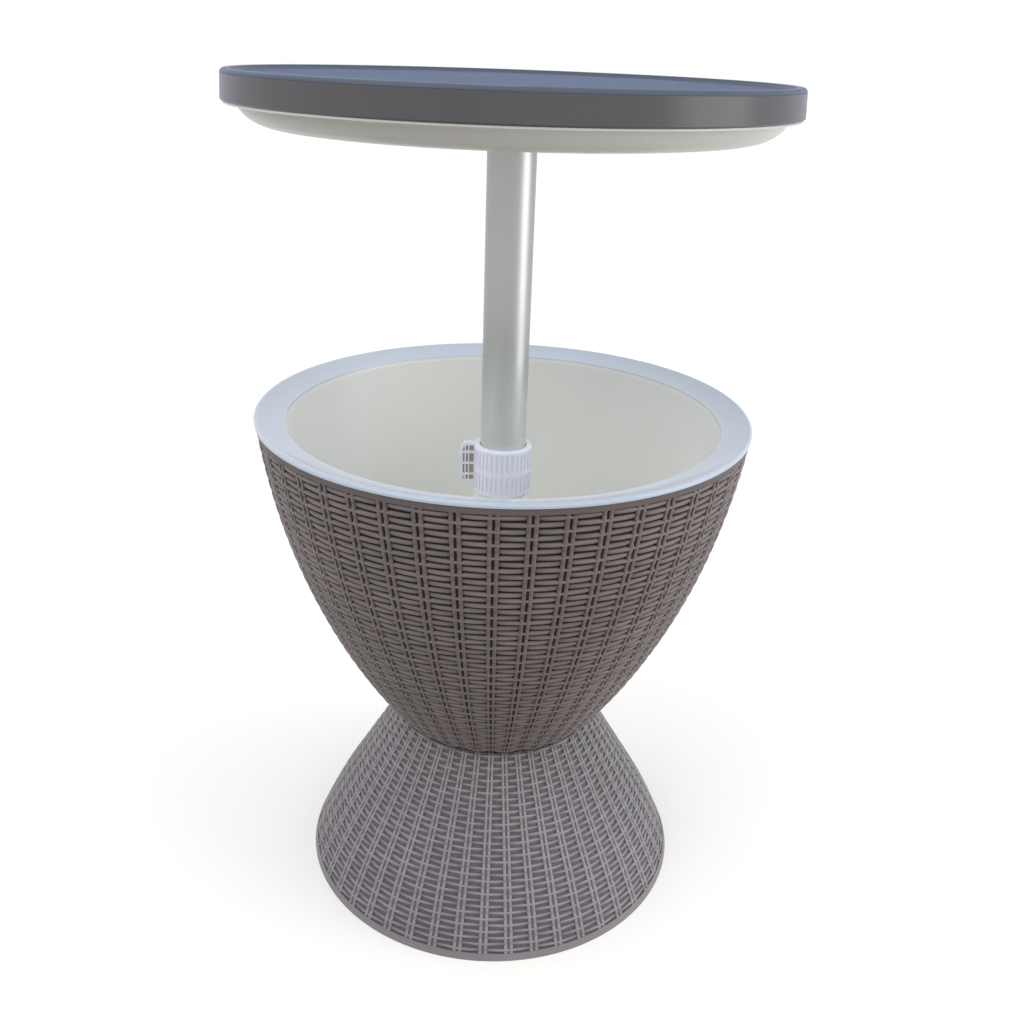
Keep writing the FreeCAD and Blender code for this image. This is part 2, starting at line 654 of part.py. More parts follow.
def make_hub_bolt():
    """Central bolt that keeps the lid on the pole and lets it turn."""
    head_z = HUB_WEB_Z + HUB_WEB_T + FREE_GAP + HUB_WASHER_T
    return revolved(
        (0, head_z - HUB_BOLT_GRIP - HUB_WEB_T),
        (HUB_BOLT_R, head_z - HUB_BOLT_GRIP - HUB_WEB_T),
        (HUB_BOLT_R, head_z),
        (HUB_BOLT_HEAD_R, head_z),
        (HUB_BOLT_HEAD_R, head_z + HUB_BOLT_HEAD_H - HUB_BOLT_CHAMFER),
        (HUB_BOLT_HEAD_R - HUB_BOLT_CHAMFER, head_z + HUB_BOLT_HEAD_H),
        (0, head_z + HUB_BOLT_HEAD_H),
    )


def make_lid_top():
    """Table top: shallow recess inside a raised lip, deep edge band, ribs underneath."""
    recess_z = TOP_Z - LID_RECESS
    lip_in = LID_R - LID_ROUND - LID_LIP_W
    band_in = LID_FOOT_R - LID_WALL
    top = revolved(
        (0, recess_z),
        (lip_in - LID_LIP_SLOPE, recess_z),
        ((lip_in + LID_LIP_CROWN, recess_z + LID_LIP_SAG),
         (lip_in + LID_LIP_SLOPE, TOP_Z - LID_LIP_CROWN)),
        (lip_in + LID_LIP_W / 2, TOP_Z),
        (LID_R - LID_ROUND, TOP_Z),
        ((LID_R - BELLY * LID_ROUND, TOP_Z - BELLY * LID_ROUND), (LID_R, TOP_Z - LID_ROUND)),
        (LID_FOOT_R, LID_FOOT_Z + LID_FOOT_CHAMFER),
        (LID_FOOT_R - LID_FOOT_CHAMFER, LID_FOOT_Z),
        (band_in, LID_FOOT_Z),
        (LID_R - LID_WALL - LID_LIP_CROWN, LID_UNDER_Z - LID_WALL),
        (LID_R - 2 * LID_WALL, LID_UNDER_Z),
        (0, LID_UNDER_Z),
    )
    ring_r = HUB_R + LID_RIB_START
    rib = block((ring_r, band_in), (-LID_RIB_T / 2, LID_RIB_T / 2),
                (LID_UNDER_Z - LID_RIB_H, LID_UNDER_Z + PAST))
    ribs = around(rib, LID_RIB_COUNT)
    ring = tube(ring_r + LID_RING_T, ring_r, LID_UNDER_Z - LID_RIB_H, LID_UNDER_Z + PAST)
    bosses = [rod(BOSS_R, TRAY_FLOOR_Z, LID_UNDER_Z + PAST, x, y) for x, y in LID_SCREWS]
    top = top.fuse(ribs + [ring] + bosses)
    pilot_top = TRAY_FLOOR_Z + SCREW_BITE + PAST
    pilots = [rod(SCREW_R + RUNNING_GAP, TRAY_FLOOR_Z - PAST, pilot_top, x, y)
              for x, y in LID_SCREWS]
    return closed(top.cut(pilots).removeSplitter())


def make_lid_tray():
    """Glossy underside: thin flange, curved plug wall, flat bottom and the turning hub."""
    bore_r = POLE_R + SLIDING_GAP
    hub_foot_z = TRAY_BOTTOM_Z - HUB_BELOW
    hub_top_z = HUB_WEB_Z + HUB_WEB_T
    flange_z = LID_FOOT_Z - TRAY_FLANGE_T
    shoulder_z = LID_FOOT_Z - TRAY_SHOULDER_DROP
    side_z = LID_FOOT_Z - TRAY_SIDE_DROP
    heel_z = LID_FOOT_Z - TRAY_HEEL_DROP
    turn_z = LID_FOOT_Z - TRAY_TURN_DROP
    tray = revolved(
        (bore_r, hub_foot_z),
        (HUB_R - HUB_CHAMFER, hub_foot_z),
        (HUB_R, hub_foot_z + HUB_CHAMFER),
        (HUB_R + HUB_FLARE, TRAY_BOTTOM_Z),
        (TRAY_BOTTOM_R, TRAY_BOTTOM_Z),
        ((TRAY_TURN_R, turn_z), (TRAY_HEEL_R, heel_z)),
        ((TRAY_SIDE_R, side_z), (TRAY_SHOULDER_R, shoulder_z)),
        (TRAY_FLANGE_R, flange_z),
        (TRAY_FLANGE_R, LID_FOOT_Z),
        (TRAY_SHOULDER_R - TRAY_WALL_IN, shoulder_z + TRAY_WALL_UP),
        ((TRAY_SIDE_R - TRAY_WALL_IN, side_z + TRAY_WALL_UP),
         (TRAY_HEEL_R - TRAY_WALL_IN, heel_z + TRAY_WALL_UP)),
        ((TRAY_TURN_R - TRAY_WALL_IN, turn_z + TRAY_WALL_UP), (TRAY_BOTTOM_R, TRAY_FLOOR_Z)),
        (HUB_R, TRAY_FLOOR_Z),
        (HUB_R, hub_top_z),
        (HUB_BOLT_R + FREE_GAP, hub_top_z),
        (HUB_BOLT_R + FREE_GAP, HUB_WEB_Z),
        (bore_r, HUB_WEB_Z),
    )
    holes = [rod(SCREW_R + FREE_GAP, TRAY_BOTTOM_Z - PAST, TRAY_FLOOR_Z + PAST, x, y)
             for x, y in LID_SCREWS]
    return closed(tray.cut(holes))


def screw(x, y, head_z, tip_z):
    """A pan-head screw driven upwards: its head hangs below head_z."""
    low = head_z - SCREW_HEAD_H
    head = Part.makeCone(SCREW_CROWN_R, SCREW_HEAD_R, SCREW_HEAD_H / 2,
                         FreeCAD.Vector(x, y, low))
    return closed(head.fuse([
        rod(SCREW_HEAD_R, low + SCREW_HEAD_H / 2, head_z, x, y),
        rod(SCREW_R, head_z, tip_z, x, y),
    ]).removeSplitter())


def make_waist_screws():
    tip_z = SHELL_FLOOR_Z + SCREW_BITE
    return [screw(x, y, DECK_Z, tip_z) for x, y in WAIST_SCREWS]


def make_column_screws():
    tip_z = SHELL_FLOOR_Z + SCREW_BITE
    return [screw(x, y, DECK_Z - SOCKET_FLANGE_T, tip_z) for x, y in COLUMN_SCREWS]


def make_lid_screws():
    return [screw(x, y, TRAY_BOTTOM_Z, TRAY_FLOOR_Z + SCREW_BITE) for x, y in LID_SCREWS]


def make_drain_plug():
    """Bung with a finger loop, over the floor drain."""
    seat_z = BUCKET_FLOOR_Z + SEAL_T
    top_z = seat_z + PLUG_FLANGE_T
    body = revolved(
        (0, BUCKET_FLOOR_Z - PLUG_STEM_H),
        (DRAIN_R - FREE_GAP - PLUG_LEAD, BUCKET_FLOOR_Z - PLUG_STEM_H),
        (DRAIN_R - FREE_GAP, BUCKET_FLOOR_Z - PLUG_STEM_H + PLUG_LEAD_H),
        (DRAIN_R - FREE_GAP, seat_z),
        (PLUG_FLANGE_R, seat_z),
        (PLUG_FLANGE_R, top_z - PLUG_EDGE),
        (PLUG_FLANGE_R - PLUG_EDGE, top_z),
        (0, top_z),
    )
    loop_z = top_z - PLUG_LOOP_SINK
    loop = Part.makeTorus(PLUG_LOOP_R, PLUG_LOOP_WIRE, FreeCAD.Vector(0, 0, loop_z),
                          FreeCAD.Vector(0, 1, 0))
    above = block((-PLUG_LOOP_R * 2, PLUG_LOOP_R * 2), (-PLUG_LOOP_R, PLUG_LOOP_R),
                  (loop_z, loop_z + PLUG_LOOP_R * 2))
    plug = closed(body.fuse(loop.common(above)).removeSplitter())
    plug.translate(FreeCAD.Vector(0, DRAIN_Y, 0))
    return plug


def make_drain_seal():
    """Flat rubber ring under the bung's flange."""
    return tube(PLUG_FLANGE_R - PLUG_EDGE, DRAIN_R - FREE_GAP, BUCKET_FLOOR_Z,
                BUCKET_FLOOR_Z + SEAL_T, 0, DRAIN_Y)


def main():
    pieces = {
        "base_shell": make_base_shell(),
        "upper_shell": make_upper_shell(),
        "bucket": make_bucket(),
        "column_socket": make_column_socket(),
        "sleeve": make_sleeve(),
        "clamp_bush": make_clamp_bush(),
        "lock_collar": make_lock_collar(),
        "grip_pad": make_grip_pad(),
        "pole": make_pole(),
        "pole_guide": make_pole_guide(),
        "pole_head": make_pole_head(),
        "hub_washer": make_hub_washer(),
        "hub_bolt": make_hub_bolt(),
        "lid_top": make_lid_top(),
        "lid_tray": make_lid_tray(),
        "waist_screws": make_waist_screws(),
        "column_screws": make_column_screws(),
        "lid_screws": make_lid_screws(),
        "drain_plug": make_drain_plug(),
        "drain_seal": make_drain_seal(),
    }
    os.makedirs("parts", exist_ok=True)
    for name, shape in pieces.items():
        if isinstance(shape, list):
            shape = Part.makeCompound(shape)
        shape.exportStep("parts/" + name + ".step")
        print(name, "solids", len(shape.Solids), "valid", shape.isValid(), "volume", round(shape.Volume))


main()
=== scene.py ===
import random
from math import cos, hypot, sin, sqrt, tau

import bpy
import numpy as np
from mathutils import Matrix, Vector


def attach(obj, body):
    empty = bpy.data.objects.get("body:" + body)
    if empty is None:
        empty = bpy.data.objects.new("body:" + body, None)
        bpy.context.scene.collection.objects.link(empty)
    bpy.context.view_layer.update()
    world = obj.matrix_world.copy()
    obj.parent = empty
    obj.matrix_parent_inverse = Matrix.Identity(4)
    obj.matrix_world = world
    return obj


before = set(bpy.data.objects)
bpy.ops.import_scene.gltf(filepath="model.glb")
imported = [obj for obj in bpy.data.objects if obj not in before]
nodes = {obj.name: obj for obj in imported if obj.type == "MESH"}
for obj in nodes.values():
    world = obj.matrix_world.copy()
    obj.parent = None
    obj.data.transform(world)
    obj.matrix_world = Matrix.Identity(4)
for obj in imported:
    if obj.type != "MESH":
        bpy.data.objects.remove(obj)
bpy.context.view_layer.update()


# The base shell: the lower half of the hourglass, one injection moulding in taupe plastic.
# Its outside is moulded as wickerwork: thin strands that go over one pair of upright stakes
# and under the next. The wall behind the weave is the CAD node, sunk below the strands.

class Wire:
    """An output of a node. Arithmetic on it adds Math nodes to the same tree."""

    def __init__(self, tree, socket):
        self.tree = tree
        self.socket = socket

    def __add__(self, other):
        return self.tree.maths("ADD", self, other)

    __radd__ = __add__

    def __mul__(self, other):
        return self.tree.maths("MULTIPLY", self, other)

    __rmul__ = __mul__


class Tree:
    """The nodes of a finish or of the sky."""

    mix_share, mix_first, mix_second, mix_result = 0, 6, 7, 2

    def __init__(self, owner):
        owner.use_nodes = True
        self.nodes = owner.node_tree.nodes
        self.links = owner.node_tree.links

    def node(self, kind, settings=None, inputs=None, out=0):
        """Adds a node: its settings first, then the values or wires of its sockets."""
        made = self.nodes.new("ShaderNode" + kind)
        for key, value in (settings or {}).items():
            setattr(made, key, value)
        for key, value in (inputs or {}).items():
            if isinstance(value, Wire):
                self.links.new(value.socket, made.inputs[key])
            else:
                made.inputs[key].default_value = value
        return Wire(self, made.outputs[out])

    def maths(self, operation, *values):
        return self.node("Math", {"operation": operation}, dict(enumerate(values)))

    def mix(self, share, first, second, way="MIX"):
        """Two colours mixed by a share."""
        return self.node("Mix", {"data_type": "RGBA", "blend_type": way},
                         {self.mix_share: share, self.mix_first: first, self.mix_second: second},
                         out=self.mix_result)

    def fade(self, value, start, end, low, high, curve="LINEAR"):
        """Takes a value from low at the start to high at the end."""
        ends = {"From Min": start, "From Max": end, "To Min": low, "To Max": high}
        return self.node("MapRange", {"interpolation_type": curve}, {"Value": value, **ends})


class Finish(Tree):
    """A material round one Principled shader, with its plain sockets set by name."""

    def __init__(self, name, **plain):
        self.material = bpy.data.materials.new(name)
        super().__init__(self.material)
        self.shader = self.nodes["Principled BSDF"]
        for socket, value in plain.items():
            self.shader.inputs[socket.replace("_", " ")].default_value = value

    def noise(self, scale, detail=3.0, stretch=None):
        """A noise value about 0.5, at a number of cycles per metre."""
        where = self.node("TexCoord", out="Object")
        if stretch:
            where = self.node("Mapping", {}, {"Vector": where, "Scale": stretch})
        return self.node("TexNoise", {}, {"Vector": where, "Scale": scale, "Detail": detail})

    def height(self):
        """Each point's height over the floor as the piece stands at rest, in metres."""
        return self.node("SeparateXYZ", {}, {0: self.node("TexCoord", out="Object")}, out="Z")

    def level(self, low, high):
        """1 between two heights on the piece and 0 elsewhere."""
        return self.maths("COMPARE", self.height(), (low + high) / 2, (high - low) / 2)

    def feed(self, socket, wire):
        self.links.new(wire.socket, self.shader.inputs[socket])

    def bump(self, height, distance, strength):
        amounts = {"Height": height, "Distance": distance, "Strength": strength}
        self.feed("Normal", self.node("Bump", {}, amounts))

    def paint(self, *pieces):
        for piece in pieces:
            piece.data.materials.clear()
            piece.data.materials.append(self.material)


def rgb(red, green, blue):
    """A colour given as 0 to 255 in sRGB, in Blender's linear light."""
    levels = [value / 255 for value in (red, green, blue)]
    return tuple(v / 12.92 if v <= 0.04045 else ((v + 0.055) / 1.055) ** 2.4
                 for v in levels) + (1.0,)


def moulded(name, colour, dark_tone_and_painted_shade, roughness=0.45, grain=0.35, toned=False, zones=(), **plain):
    """Moulded plastic: faint cloudy tone, fine spark-eroded grain, slightly uneven roughness.
    A zone is a low height, a high height and the colour between them. Toned plastic also
    darkens towards its dark colour with the mesh's tone, painted shade in the weave's
    recesses mixed with a random tone."""
    finish = Finish(name, **plain)
    cloud = finish.noise(scale=9.0, detail=4.0)
    if toned:
        # The mesh's tone paints shade into the weave's recesses, mixed with a random tone.
        tone_share = 0.7
        tone = finish.node("Attribute", {"attribute_name": "tone"}, out="Fac")
        cloud = cloud * (1 - tone_share) + tone * tone_share
    tint = finish.mix(cloud, dark_tone_and_painted_shade, colour)
    for low, high, inner in zones:
        tint = finish.mix(finish.level(low, high), tint, inner)
    finish.feed("Base Color", tint)
    unevenness = 0.14
    patches = finish.noise(scale=60.0, detail=2.0)
    finish.feed("Roughness", patches * unevenness + (roughness - unevenness / 2))
    finish.bump(finish.noise(scale=2600.0, detail=2.0), distance=0.00012, strength=grain)
    return finish


class Slope:
    """The outline of a shell, walked by its length from the foot up, in metres."""

    def __init__(self, points):
        self.points = np.array(points)
        steps = np.diff(self.points, axis=0)
        lengths = np.hypot(steps[:, 0], steps[:, 1])
        self.along = np.concatenate([[0], np.cumsum(lengths)])
        self.length = self.along[-1]
        outward = np.stack([steps[:, 1], -steps[:, 0]], 1) / lengths[:, None]
        middles = (self.along[1:] + self.along[:-1]) / 2
        self.outward = np.stack([np.interp(self.along, middles, outward[:, i]) for i in (0, 1)], 1)

    def at(self, lengths, depths):
        """Radius and height at each length, sunk by each depth."""
        r, z = (np.interp(lengths, self.along, self.points[:, i]) for i in (0, 1))
        out_r, out_z = (np.interp(lengths, self.along, self.outward[:, i]) for i in (0, 1))
        return r - out_r * depths, z - out_z * depths


def arc_points(start, middle, end, count):
    """Points on the circle arc through three (radius, height) points."""
    (x1, y1), (x2, y2), (x3, y3) = start, middle, end
    area = 2 * ((x2 - x1) * (y3 - y1) - (x3 - x1) * (y2 - y1))
    a = (x2 - x1) ** 2 + (y2 - y1) ** 2
    b = (x3 - x1) ** 2 + (y3 - y1) ** 2
    cx = x1 + (a * (y3 - y1) - b * (y2 - y1)) / area
    cy = y1 + (b * (x2 - x1) - a * (x3 - x1)) / area
    reach = hypot(x1 - cx, y1 - cy)
    return [(cx + sqrt(reach ** 2 - (y - cy) ** 2), y) for y in np.linspace(y1, y3, count)]


class Weave:
    """One shell's wickerwork: its slope, its field between plain bands, and its strands.

    The first pair of stakes is turned a few degrees from the front, and all edges sink by the
    skin. A strand's width is strand over the stakes and dip under them. Its sides sink by
    crown, and its lower edge by ledge and skirt widths down. Rise is its depth from over one
    pair to under the next. Shares are a pair's part of its pitch at the foot and at the top,
    and slit is the gap's part of the pair."""

    pairs = 48
    first_turn = -1.3
    skin = 0.0027

    def __init__(self, slope, low_band, high_band, rows, **sizes):
        self.slope = slope
        self.low = low_band
        self.rows = rows
        self.pitch = (slope.length - low_band - high_band) / rows
        for key, value in sizes.items():
            setattr(self, key, value)

    def pair_share(self, row):
        """How much of a pair's pitch its two stakes take at a row."""
        low, high = self.shares
        return low + (high - low) * row / self.rows

    def wrap(self, piece, turns, rows, depths):
        """Puts each point at its turn round the axis, its row up the slope and its depth."""
        r, z = self.slope.at(self.low + np.clip(rows, 0, self.rows) * self.pitch, depths)
        angle = np.radians(turns)
        where = np.stack([r * np.sin(angle), -r * np.cos(angle), z], 1)
        piece.data.vertices.foreach_set("co", where.astype(np.float32).ravel())
        piece.data.update()


def repeated_grid(name, faces, copies, joined):
    """A grid repeated both ways, each copy joined to the last or apart from it.
    Returns it with each point's count along X and Y."""
    bpy.ops.object.select_all(action="DESELECT")
    bpy.ops.mesh.primitive_grid_add(x_subdivisions=faces[0], y_subdivisions=faces[1], size=1.0)
    piece = bpy.context.object
    piece.name = piece.data.name = name
    bpy.ops.object.mode_set(mode="EDIT")
    bpy.ops.mesh.select_all(action="SELECT")
    bpy.ops.transform.translate(value=(0.5, 0.5, 0.0))
    bpy.ops.transform.resize(value=(faces[0], faces[1], 1.0), center_override=(0, 0, 0))
    bpy.ops.object.mode_set(mode="OBJECT")
    for axis in (0, 1):
        array = piece.modifiers.new("repeat", "ARRAY")
        array.count = copies[axis]
        array.use_relative_offset = False
        array.use_constant_offset = True
        step = faces[axis] + (0 if joined[axis] else 1)
        array.constant_offset_displace = (step, 0, 0) if axis == 0 else (0, step, 0)
        array.use_merge_vertices = joined[axis]
        array.merge_threshold = 0.01
        bpy.ops.object.modifier_apply(modifier=array.name)
    points = np.empty(len(piece.data.vertices) * 3, np.float32)
    piece.data.vertices.foreach_get("co", points)
    counts = np.rint(points.reshape(-1, 3)).astype(int)
    return piece, counts[:, 0], counts[:, 1]


def close_weave(piece, tone_and_painted_shade):
    """Keeps each point's tone, painted shade by depth with a random tone, joins the ring and
    smooths the faces.
    """
    values = piece.data.attributes.new("tone", "FLOAT", "POINT")
    values.data.foreach_set("value", np.clip(tone_and_painted_shade, 0, 1).astype(np.float32))
    bpy.ops.object.mode_set(mode="EDIT")
    bpy.ops.mesh.select_all(action="SELECT")
    bpy.ops.mesh.remove_doubles(threshold=0.00001)
    bpy.ops.mesh.dissolve_degenerate(threshold=0.00001)
    bpy.ops.object.mode_set(mode="OBJECT")
    bpy.ops.object.shade_smooth()


def weave_strands(name, weave, seed):
    """Rows of crowned strands. Each rises over a pair of stakes and dips under the next,
    and half a period of that is drawn in steps and mirrored."""
    periods = weave.pairs // 2
    steps, faces_across = 14, 5
    piece, x, y = repeated_grid(name, (steps, faces_across), (periods, weave.rows),
                                (True, False))
    period, step = np.divmod(x, steps)
    row, side = np.divmod(y, faces_across + 1)
    mirrored = np.minimum(step, steps - step)
    half = weave.pair_share(row + 0.5) / 4
    # Places along half a period, in periods: over a pair's middle at -0.5, under the next at 0
    marks = np.stack([
        -0.5 + 0 * half, -0.5 + half, -0.485 + half, -0.44 + half,
        -0.25 + 0 * half, -0.035 - half, -half, 0 * half,
    ])
    u = marks[mirrored, np.arange(len(half))] * np.where(step > steps // 2, -1, 1)
    crest = np.array(weave.rise)[mirrored]
    width = np.array([weave.strand] * 6 + [weave.dip] * 2)[mirrored]
    shift = np.array([-weave.skirt, -0.5, -0.42, 0.0, 0.42, 0.5])[side] * width / weave.pitch
    slump = np.array([0.0, weave.ledge, weave.crown, 0.0, weave.crown, 0.0])[side]
    edge = (side == 0) | (side == faces_across)
    depth = np.where(edge, weave.skin, np.minimum(crest + slump, weave.skin))
    dice = random.Random(seed)
    most_lean = 0.05
    lean, tone = np.array([(dice.uniform(-most_lean, most_lean), dice.random())
                           for _ in range(weave.rows * periods)]).T
    cell = row * periods + period % periods
    rows = row + 0.5 + shift + lean[cell] * np.sin((u + 0.5) * tau)
    turns = weave.first_turn + (period + u + 0.5 + 0.5 * (row % 2)) * 360 / periods
    weave.wrap(piece, turns, rows, depth)
    # Deeper points are painted darker, as shade in the weave's recesses, and each cell adds a
    # random tone.
    painted_depth_shade, variety = 0.8, 0.3
    tone_and_painted_shade = 1.0 - painted_depth_shade * depth / weave.skin + variety * (tone[cell] - 0.5)
    close_weave(piece, tone_and_painted_shade)
    return piece


def weave_stakes(name, weave, seed):
    """Pairs of flat upright stakes that sink behind each strand that crosses over them."""
    steps, faces_across = 8, 3
    stakes = 2 * weave.pairs
    piece, x, y = repeated_grid(name, (faces_across, steps), (stakes, weave.rows // 2 + 1),
                                (False, True))
    stake, corner = np.divmod(x, faces_across + 1)
    pair, side = np.divmod(stake, 2)
    wave, step = np.divmod(y, steps)
    # Places up one wave, in rows: proud between the crossing strands and sunk behind them
    marks = np.array([-1.0, -0.36, -0.28, -0.2, 0.0, 0.2, 0.28, 0.36])[step]
    crest = np.array([0.3, 0.35, 0.6, 0.85, 0.9, 0.85, 0.6, 0.35])[step] * 0.001
    rows = 2 * wave + marks + np.where(pair % 2 == 1, -0.5, 0.5)
    share = weave.pair_share(np.clip(rows, 0, weave.rows))
    width = share * (1 - weave.slit) / 2
    middle = (side - 0.5) * (width + share * weave.slit)
    turn = pair + middle + np.array([-0.5, -0.42, 0.42, 0.5])[corner] * width
    depth = np.where((corner == 0) | (corner == faces_across), weave.skin, crest)
    weave.wrap(piece, weave.first_turn + turn * 360 / weave.pairs, rows, depth)
    dice = random.Random(seed)
    variety = 0.1
    tone = np.array([dice.random() for _ in range(stakes)])
    # Stakes are painted darker where they sink, as shade, and each stake adds a random tone.
    tone_and_painted_shade = weave.stake_tone * (1 - depth / weave.skin) + variety * (tone[stake] - 0.5)
    close_weave(piece, tone_and_painted_shade)
    return piece


waist = 0.1895
foot, shoulder, flank, neck = (0.2104, 0.0), (0.190, 0.0445), (0.166, 0.0865), (0.1046, waist)
base_slope = Slope(arc_points(foot, shoulder, flank, count=120) + [neck])
base_weave = Weave(base_slope, low_band=0.0076, high_band=0.0048, rows=32,
                   strand=0.0031, dip=0.0024, crown=0.0004, skirt=1.3, ledge=0.0013,
                   rise=(0.0022, 0.0014, 0.0013, 0.00115, 0.0006, 0.0001, 0.0, 0.0),
                   shares=(0.36, 0.44), slit=0.2, stake_tone=1.1)
foot_band, neck_band = 0.007, 0.004
# Between the plain bands the wall is painted dark: painted shade in the gaps of the weave.
base_wall = moulded("taupe_base_wall", rgb(140, 135, 136), rgb(130, 125, 126),
                    zones=[(foot_band, waist - neck_band, rgb(98, 94, 97))],
                    Specular_IOR_Level=0.2)
base_wall.paint(nodes["base_shell"])
# The weave's dark colour shows at its deepest points, as painted shade.
base_woven = moulded("taupe_base_weave", rgb(155, 150, 152), rgb(78, 72, 73), toned=True,
                     Specular_IOR_Level=0.3)
for piece in (weave_strands("base_weave_strands", base_weave, 11),
              weave_stakes("base_weave_stakes", base_weave, 12)):
    base_woven.paint(piece)
    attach(piece, "stand")


# The upper shell: the flared moulding that carries the bucket, in the same plastic and weave.
# Its strands are broader and lie closer together, and a plain band runs under the white rim.

upper_edge = 0.5295
heel, belly, edge = (0.114, waist), (0.201, 0.3465), (0.2465, upper_edge)
upper_slope = Slope(arc_points(heel, belly, edge, count=240))
upper_weave = Weave(upper_slope, low_band=0.0032, high_band=0.0068, rows=54,
                    strand=0.0046, dip=0.0033, crown=0.0007, skirt=0.5, ledge=0.0027,
                    rise=(0.0022, 0.0015, 0.0011, 0.0006, 0.0002, 0.0001, 0.0, 0.0),
                    shares=(0.36, 0.326), slit=0.2, stake_tone=0.7)
waist_band, top_band = 0.003, 0.0065
# Between the plain bands the wall is painted nearly black: painted shade in the gaps of the weave.
upper_wall = moulded("taupe_upper_wall", rgb(118, 109, 107), rgb(106, 98, 96),
                     zones=[(waist + waist_band, upper_edge - top_band, rgb(45, 38, 37))],
                     Specular_IOR_Level=0.05)
upper_wall.paint(nodes["upper_shell"])
# The weave's dark colour shows at its deepest points, as painted shade.
upper_woven = moulded("taupe_upper_weave", rgb(137, 126, 124), rgb(56, 48, 47), toned=True,
                      Specular_IOR_Level=0.25)
for piece in (weave_strands("upper_weave_strands", upper_weave, 21),
              weave_stakes("upper_weave_stakes", upper_weave, 22)):
    upper_woven.paint(piece)
    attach(piece, "stand")


# The ice bucket: one white moulding with a broad dished rim, a finely textured inside
# and a chimney for the column. It hangs in the upper shell by its rim.

mouth_low, mouth_high = 0.5225, 0.5265
bucket_white = Finish("white_bucket", Specular_IOR_Level=0.3)
inside = bucket_white.fade(bucket_white.height(), mouth_low, mouth_high, 1.0, 0.0)
# The rim's white plastic is painted a bluish grey, a painted reflection of the sky.
rim_white_with_painted_sky = bucket_white.mix(bucket_white.noise(7.0), rgb(188, 196, 207), rgb(194, 201, 211))
inner_white = bucket_white.mix(bucket_white.noise(5.0), rgb(230, 230, 224), rgb(236, 236, 231))
bucket_white.feed("Base Color", bucket_white.mix(inside, rim_white_with_painted_sky, inner_white))
rim_roughness, inner_gain, unevenness = 0.14, 0.26, 0.1
bucket_white.feed("Roughness", bucket_white.noise(45.0) * unevenness
                  + inside * inner_gain + rim_roughness)
texture, ripple = bucket_white.noise(1500.0) * inside, bucket_white.noise(40.0) * 0.4
bucket_white.bump(texture + ripple, distance=0.0001, strength=0.3)
bucket_white.paint(nodes["bucket"])


# The column's socket under the deck, the clamp bush in the sleeve's mouth, and the bush and
# the plug in the pole's two ends. All are plain mouldings that other pieces mostly hide.

moulded("socket_taupe", rgb(118, 112, 111), rgb(106, 100, 99)).paint(nodes["column_socket"])
moulded("bush_grey", rgb(168, 168, 166), rgb(158, 158, 157), roughness=0.4).paint(
    nodes["clamp_bush"], nodes["pole_guide"], nodes["pole_head"])


# The pole and the sleeve that it slides in: satin anodised aluminium tubes. The sleeve is
# fixed and the pole carries the top. Fine drawing lines run along both.

def drawn_aluminium(name, colour, haze_colour, roughness, foot=()):
    """Anodised tube: lines along Z in its roughness and its bump. A foot is a low height, a
    high height and the colour that the tube fades to from the high to the low."""
    finish = Finish(name, Metallic=1.0)
    lines = finish.noise(scale=900.0, detail=2.0, stretch=(1.0, 1.0, 0.004))
    haze = finish.noise(scale=14.0)
    tint = finish.mix(haze, colour, haze_colour)
    if foot:
        low, high, painted_highlight_colour = foot
        # The tube is painted lighter towards its foot: a painted highlight.
        painted_highlight_share = finish.fade(finish.height(), low, high, 1.0, 0.0, "SMOOTHSTEP")
        tint = finish.mix(painted_highlight_share, tint, painted_highlight_colour)
    finish.feed("Base Color", tint)
    line_depth, haze_depth = 0.1, 0.06
    finish.feed("Roughness", lines * line_depth + haze * haze_depth + roughness)
    finish.bump(lines, distance=0.00003, strength=0.5)
    return finish


# The pole's lower end is painted lighter as a painted highlight.
drawn_aluminium("anodised_pole", rgb(159, 160, 160), rgb(168, 168, 167), roughness=0.3,
                foot=(0.51, 0.62, rgb(222, 227, 226))).paint(nodes["pole"])
drawn_aluminium("anodised_sleeve", rgb(170, 173, 175), rgb(178, 180, 181),
                roughness=0.34).paint(nodes["sleeve"])


# The locking collar: a white ribbed ring that turns to squeeze the clamp bush, with a
# pierced thumb tab. The tab's soft taupe insert shows through its windows.

white_collar = moulded("white_collar", rgb(230, 232, 242), rgb(222, 225, 236), roughness=0.38)
white_collar.paint(nodes["lock_collar"])
taupe_grip = moulded("taupe_grip", rgb(178, 162, 148), rgb(166, 150, 137), roughness=0.6)
taupe_grip.paint(nodes["grip_pad"])


# The lid's top: the dark table top with a raised lip and a plain edge band, in one moulding.
# Its face has a blue-tinted sheen at a low angle, a painted reflection of the sky, and the
# lip and the band have a thin gloss.

band, recess, lip = (0.8, 0.8398), (0.8399, 0.8401), (0.8402, 0.85)
# The lip and the face are painted bluish, a painted reflection of the sky, the lip lighter as a
# painted highlight.
taupe_lid = moulded("taupe_lid", rgb(95, 92, 94), rgb(86, 84, 86), roughness=0.42, grain=0.25,
                    zones=[(*lip, rgb(92, 98, 111)), (*recess, rgb(66, 71, 81))],
                    Specular_IOR_Level=0.02, Coat_Roughness=0.25, Sheen_Weight=0.245,
                    Sheen_Roughness=0.3, Sheen_Tint=(0.21, 0.4, 0.9, 1.0))
taupe_lid.feed("Coat Weight", taupe_lid.level(*band) * 0.5 + taupe_lid.level(*lip) * 0.2)
taupe_lid.paint(nodes["lid_top"])


# The lid's tray: the glossy white underside that plugs the bucket, moulded with the hub that
# turns on the pole's head. Screws hold it up to bosses under the top.

white_tray = moulded("white_tray", rgb(223, 222, 215), rgb(215, 214, 207), roughness=0.24,
                     grain=0.08, Specular_IOR_Level=0.1)
white_tray.paint(nodes["lid_tray"])


